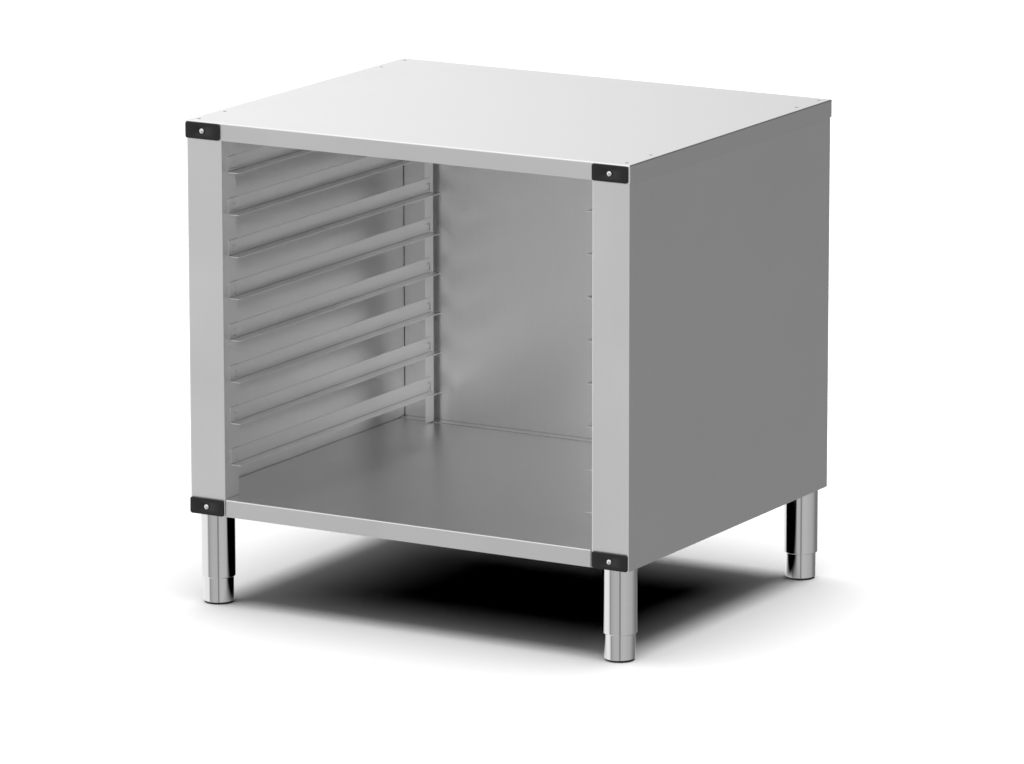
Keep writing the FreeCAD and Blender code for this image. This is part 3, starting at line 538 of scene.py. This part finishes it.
def cap_grid(low, high):
    """Rings of a cap between the corners of its box, from the screw hole's back edge over
    the front face and its rounded edge to the back, as a closed loop of rows."""
    t = np.linspace(0, 2 * math.pi, CAP_STEPS, endpoint=False) + math.pi / CAP_STEPS
    centre, size = (low + high) / 2 / MM, (high - low) / MM
    rings = [(HOLE_R, 0.0), (HOLE_R, size.y - CAP_SINK - 0.2), (HOLE_R + 0.3, size.y - CAP_SINK),
             (SINK_R - 0.6, size.y - CAP_SINK), (SINK_R, size.y)]
    rows = [(r * np.cos(t), r * np.sin(t), f + 0 * t) for r, f in rings]
    for a in np.linspace(0, math.pi / 2, 6):
        inset = CAP_EDGE * (1 - math.sin(a))
        forward = size.y - CAP_EDGE * (1 - math.cos(a))
        rows.append((*rounded_rectangle(size.x, size.z, CAP_CORNER, inset, t), forward + 0 * t))
    rows.append((*rounded_rectangle(size.x, size.z, CAP_CORNER, 0, t), 0 * t))
    x, z, y = (np.stack(part) for part in zip(*rows))
    return np.stack([centre.x + x, high.y / MM - y, centre.z + z], -1) * MM


for place in CORNERS:
    node = f"corner_cap_{place}"
    cap = make_piece(f"cap_{place}", [(cap_grid(*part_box(node)), True)], finishes["cap"],
                     "cabinet", [node])
    soften(cap, 40)

# %% [markdown]
# ## Screws and rivets
# A dome-head screw holds each cap, and blind rivets hold the back panel. Both are a
# profile turned about an axis that runs from front to rear, so the grid is made about an
# upright axis and then laid over: its height becomes a distance along y. A blind rivet
# shows the broken end of its pulling pin, in a shallow hole.

# %% Cap screws and back rivets
HEAD_R, DOME, SCREW_R, SCREW_LENGTH, SCREW_POINT = 4.0, 2.2, 2.0, 5.8, 0.4
RIVET_HEAD, RIVET_DOME, RIVET_R, RIVET_TAIL = 4.0, 1.4, 2.0, 2.8
SHEET = 1.2
DOME_STEPS = 40


def dome_profile(radius, height, from_radius=0.0, rim=0.25):
    """Profile of a dome: an ellipse from its top at from_radius to its rim, where
    height = rim + (top - rim) * square root of (1 - (r / radius) squared)."""
    r = np.linspace(from_radius, radius, 10)
    z = rim + (height - rim) * np.sqrt(np.clip(1 - (r / radius) ** 2, 0, 1))
    return np.concatenate([np.stack([r, z], -1), [[radius, 0.0]]])


def laid(profile, x, z, face, forward):
    """Grid of a turned profile laid over: its axis runs along y through (x, z), and its
    height counts from the face, forward (-1) or to the rear (+1)."""
    upright = turned(profile, columns=DOME_STEPS)
    return np.stack([x + upright[..., 0], face + forward * upright[..., 2],
                     z + upright[..., 1]], -1)


screw_profile = np.concatenate([
    dome_profile(HEAD_R, DOME),
    [[SCREW_R, 0], [SCREW_R, SCREW_POINT - SCREW_LENGTH],
     [SCREW_R - SCREW_POINT, -SCREW_LENGTH], [0, -SCREW_LENGTH]]])
screws = []
for place in CORNERS:
    low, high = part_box(f"corner_cap_{place}")
    middle = (low + high) / 2
    screws.append((laid(screw_profile, middle.x, middle.z, low.y, -1), False))
soften(make_piece("screws_of_caps", screws, finishes["screw"],
                  "cabinet", ["cap_screws"]))
print(len(screws), "cap screws of", 2 * HEAD_R, "mm")

# %% Rivets up the back panel
RIVET_X, RIVET_ROWS = 360.5, 4
PIN_HOLE, PIN_DEPTH = 1.1, 0.7

rivet_profile = np.concatenate([
    [[0, RIVET_DOME - PIN_DEPTH], [PIN_HOLE, RIVET_DOME - PIN_DEPTH]],
    dome_profile(RIVET_HEAD, RIVET_DOME, PIN_HOLE + 0.15),
    [[RIVET_R, 0], [RIVET_R, -2 * SHEET], [RIVET_TAIL, -2 * SHEET - 0.4],
     [RIVET_TAIL * 0.8, -2 * SHEET - RIVET_TAIL], [0, -2 * SHEET - RIVET_TAIL]]])
low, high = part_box("back_rivets")
heights = np.linspace(low.z + RIVET_HEAD * MM, high.z - RIVET_HEAD * MM, RIVET_ROWS)
rivets = [(laid(rivet_profile, side * RIVET_X * MM, z, high.y - RIVET_DOME * MM, 1), False)
          for side in (-1, 1) for z in heights]
soften(make_piece("rivets_of_back", rivets, finishes["screw"],
                  "cabinet", ["back_rivets"]))
print(len(rivets), "rivets at", [round(z / MM) for z in heights], "mm")

# %% [markdown]
# ## Studs and nuts under the shelf
# Three M8 studs and nuts clamp each leg plate. A nut is a hexagon whose corners are
# turned away at both ends: at each angle and height its radius is the smaller of the
# hexagon's and the chamfer cone's. Its bore closes the loop of rows.

# %% Studs and nuts
FLATS, NUT_HEIGHT, STUD_R = 13.0, 6.5, 4.0
NUT_STEPS, BORE_SINK = 72, 0.6
NUT_RINGS = ((0.0, FLATS / 2 - 0.1), (0.25, FLATS / 2 + 0.3), (0.6, FLATS))  # height, cone
STUD_INSETS = ((75.0, 20.0), (20.0, 75.0), (75.0, 75.0))
SIDE_FACE, FRONT_FACE, REAR_FACE = 369.5, -304.9, 310.1
STUD_PITCH, STUD_DEPTH = 1.25, 0.65


def nut_grid(x, y, bottom):
    """Rows of a hexagon nut: outside radius min(half flats / cos(angle to the nearest
    flat's middle), chamfer), then back through the bore."""
    t = np.linspace(0, 2 * math.pi, NUT_STEPS, endpoint=False)
    flat = (t + math.pi / 6) % (math.pi / 3) - math.pi / 6
    hexagon = FLATS / 2 / np.cos(flat)
    mouth, bore = np.full_like(t, STUD_R + BORE_SINK), np.full_like(t, STUD_R)
    rows = [(mouth, 0.0)]
    rows += [(np.minimum(hexagon, cone), height) for height, cone in NUT_RINGS]
    rows += [(np.minimum(hexagon, cone), NUT_HEIGHT - height) for height, cone in NUT_RINGS[::-1]]
    rows += [(mouth, NUT_HEIGHT), (bore, NUT_HEIGHT - BORE_SINK), (bore, BORE_SINK)]
    r = np.stack([row[0] for row in rows]) * MM
    z = (bottom + np.array([row[1] for row in rows])) * MM
    return np.stack([x * MM + r * np.cos(t), y * MM + r * np.sin(t), z[:, None] + 0 * r], -1)


stud_low, stud_high = (corner.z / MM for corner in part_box("leg_studs"))
nut_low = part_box("leg_nuts")[0].z / MM
studs, nuts = [], []
for side in (-1, 1):
    for face, inwards in ((FRONT_FACE, 1), (REAR_FACE, -1)):
        for inset_x, inset_y in STUD_INSETS:
            x, y = side * (SIDE_FACE - inset_x), face + inwards * inset_y
            studs.append((threaded(STUD_R, stud_low, stud_high, STUD_PITCH, STUD_DEPTH,
                                   (x * MM, y * MM)), False))
            nuts.append((nut_grid(x, y, nut_low), True))
soften(make_piece("studs_of_legs", studs, finishes["zinc"], "cabinet",
                  ["leg_studs"]), 50)
soften(make_piece("nuts_of_legs", nuts, finishes["zinc"], "cabinet",
                  ["leg_nuts"]))
for node in nodes:
    if node.startswith(("leg_plate", "leg_bush")):
        dress(node, finishes["zinc"])
print(len(studs), "studs and", len(nuts), "nuts")

# %% [markdown]
# ## Floor and studio light
# The floor is white paper that runs far behind the stand. Two soft lamps above light
# it, one of them very wide, so the stand's shadow is dark underneath and fades outwards.
# Steel has no colour of its own: it shows the room. So the room is a smooth gradient,
# bright overhead and to the left, darker to the right, as large soft boxes would make
# it. A black sheet under the stand is painted shadow: only reflections see it, where it
# stands for the stand's shadow on the floor and gives the tubes their dark edge.

# %% Floor and card
def flat_square(name, low, high, height, material):
    """A level rectangle between two corners, in metres."""
    corners = [(low[0], low[1], height), (high[0], low[1], height),
               (high[0], high[1], height), (low[0], high[1], height)]
    mesh = bpy.data.meshes.new(name)
    mesh.from_pydata(corners, [], [(0, 1, 2, 3)])
    mesh.materials.append(material)
    piece = bpy.data.objects.new(name, mesh)
    bpy.context.scene.collection.objects.link(piece)
    return piece


FLOOR_REACH = 60.0
paper = grained("white_studio_paper", "#D6D6D6", "#D3D3D3", 20 * MM, 0.01 * MM, 0.9)
paper.node_tree.nodes["Principled BSDF"].inputs["Specular IOR Level"].default_value = 0.0
floor = flat_square("floor", (-FLOOR_REACH, -FLOOR_REACH), (FLOOR_REACH, FLOOR_REACH), 0.0, paper)
floor.visible_glossy = False
box_low, box_high = cad_box
SHADOW_FADE = 80 * MM                                      # inwards from the stand's outline


def feathered_painted_shadow(name, half_x, half_y):
    """Painted shadow, seen in reflections: matt black that fades to nothing towards the
    sheet's edges: smooth steps of the distances from the two pairs of edges, multiplied."""
    material, tree, body = new_material(name, Base_Color=linear("#030303"), Roughness=1.0)
    body.inputs["Specular IOR Level"].default_value = 0.0
    place = add(tree, "ShaderNodeSeparateXYZ",
                {"Vector": add(tree, "ShaderNodeTexCoord").outputs["Object"]})
    steps = []
    for axis, half in (("X", half_x), ("Y", half_y)):
        away = add(tree, "ShaderNodeMath", {0: place.outputs[axis]}, operation="ABSOLUTE")
        steps.append(add(tree, "ShaderNodeMapRange", {"Value": away.outputs[0]},
                         interpolation_type="SMOOTHSTEP", in_1=half,
                         in_2=half - SHADOW_FADE).outputs["Result"])
    cover = add(tree, "ShaderNodeMath", {0: steps[0], 1: steps[1]}, operation="MULTIPLY")
    tree.links.new(cover.outputs[0], body.inputs["Alpha"])
    return material


# Painted shadow: this black sheet, seen only in reflections, stands for the stand's shadow on the
# floor under it.
shadow_card = flat_square("painted_shadow_card", box_low[:2], box_high[:2], 0.2 * MM,
                   feathered_painted_shadow("painted_shadow_card", box_high.x, box_high.y))
shadow_card.visible_camera = shadow_card.visible_diffuse = shadow_card.visible_shadow = False
print("floor", 2 * FLOOR_REACH, "m wide, card fades over", round(SHADOW_FADE / MM), "mm")

# %% Lamp and room
LAMPS = {                                           # degrees across, watts a square metre, lean
    "soft_box_above": (50.0, 4.7, 0.0),
    "soft_box_wide": (110.0, 1.65, 8.0),
}
GLOSSY_BOUNCES = 12                                 # light finds its way out of the cabinet
ROOM_TOP = 1.2                                      # brightest wall of the room


def make_lamp(name, width, power, lean):
    """A sun lamp of wide angle, for the floor: its disc is so large that it acts as a
    soft box at any distance. It leans that many degrees to the left."""
    data = bpy.data.lights.new(name, "SUN")
    data.angle, data.energy = math.radians(width), power
    lamp = bpy.data.objects.new(name, data)
    lamp.rotation_euler = (0.0, math.radians(-lean), 0.0)
    lamp.visible_glossy = False
    bpy.context.scene.collection.objects.link(lamp)
    return lamp


# Stops of azimuth in degrees (0 in front, 90 to the right) and brightness. Low down, the
# left wall is bright and dimmer screens stand in front and to the right, with two dark
# gaps between them. Higher up it is bright from the left to the front right.
LOW_ROOM = ((-180, 0.25), (-172, 0.35), (-160, 0.95), (-150, 1.05), (-50, 1.05), (-42, 0.60),
            (-36, 0.32), (-28, 0.48), (-5, 0.56), (23, 0.55), (27, 0.27), (33, 0.27),
            (37, 0.58), (60, 0.60), (110, 0.50), (130, 0.36), (150, 0.21), (180, 0.26))
HIGH_ROOM = ((-180, 0.35), (-162, 0.56), (-153, 0.68), (-147, 1.03), (-135, 1.10), (-45, 1.04),
             (30, 1.02), (70, 0.86), (100, 0.30), (120, 0.08), (170, 0.05), (180, 0.35))


def ramp_of(tree, azimuth, stops):
    """A colour ramp over the azimuth, from stops (degrees, brightness)."""
    ramp = add(tree, "ShaderNodeValToRGB", {"Fac": azimuth})
    points = ramp.color_ramp.elements
    while len(points) < len(stops):
        points.new(1.0)
    for point, (degrees, brightness) in zip(points, stops):
        point.position = degrees / 360 + 0.5
        point.color = (brightness / ROOM_TOP,) * 3 + (1.0,)
    return ramp.outputs["Color"]


def make_room():
    """The world's light by direction (x, y, z). Its azimuth, atan2(x, -y), picks a
    brightness from the lower and the upper ramp; the height z blends from one to the
    other and then to the ceiling. The camera itself sees plain white."""
    world = bpy.data.worlds.new("studio")
    world.use_nodes = True
    tree = world.node_tree
    tree.nodes.clear()
    way = add(tree, "ShaderNodeSeparateXYZ",
              {"Vector": add(tree, "ShaderNodeTexCoord").outputs["Generated"]})
    forward = add(tree, "ShaderNodeMath", {0: way.outputs["Y"]}, operation="MULTIPLY", in_1=-1.0)
    angle = add(tree, "ShaderNodeMath", {0: way.outputs["X"], 1: forward.outputs[0]},
                operation="ARCTAN2")
    azimuth = add(tree, "ShaderNodeMapRange", {"Value": angle.outputs[0]},
                  in_1=-math.pi, in_2=math.pi).outputs["Result"]
    rise = add(tree, "ShaderNodeMapRange", {"Value": way.outputs["Z"]},
               interpolation_type="SMOOTHSTEP", in_1=-0.12, in_2=0.22)
    ceiling = add(tree, "ShaderNodeMapRange", {"Value": way.outputs["Z"]},
                  interpolation_type="SMOOTHSTEP", in_1=0.65, in_2=0.95)
    walls = add(tree, "ShaderNodeMix", {"Factor": rise.outputs["Result"],
                                        6: ramp_of(tree, azimuth, LOW_ROOM),
                                        7: ramp_of(tree, azimuth, HIGH_ROOM)}, data_type="RGBA")
    whole = add(tree, "ShaderNodeMix", {"Factor": ceiling.outputs["Result"],
                                        6: walls.outputs[2]}, data_type="RGBA",
                in_7=(1.0, 1.0, 1.0, 1.0))
    for_camera = add(tree, "ShaderNodeLightPath").outputs["Is Camera Ray"]
    seen = add(tree, "ShaderNodeMix", {"Factor": for_camera, 6: whole.outputs[2]},
               data_type="RGBA", in_7=(1.0, 1.0, 1.0, 1.0))
    sky = add(tree, "ShaderNodeBackground", {"Color": seen.outputs[2]}, in_Strength=ROOM_TOP)
    add(tree, "ShaderNodeOutputWorld", {"Surface": sky.outputs["Background"]})
    world.cycles_visibility.diffuse = False
    return world


for name, (width, power, lean) in LAMPS.items():
    make_lamp(name, width, power, lean)
bpy.context.scene.world = make_room()
bpy.context.scene.cycles.glossy_bounces = GLOSSY_BOUNCES
bpy.context.scene.cycles.diffuse_bounces = 0        # no glow from the paper: a deep shadow
print(len(LAMPS), "lamps; the room is brightest overhead and to the left")
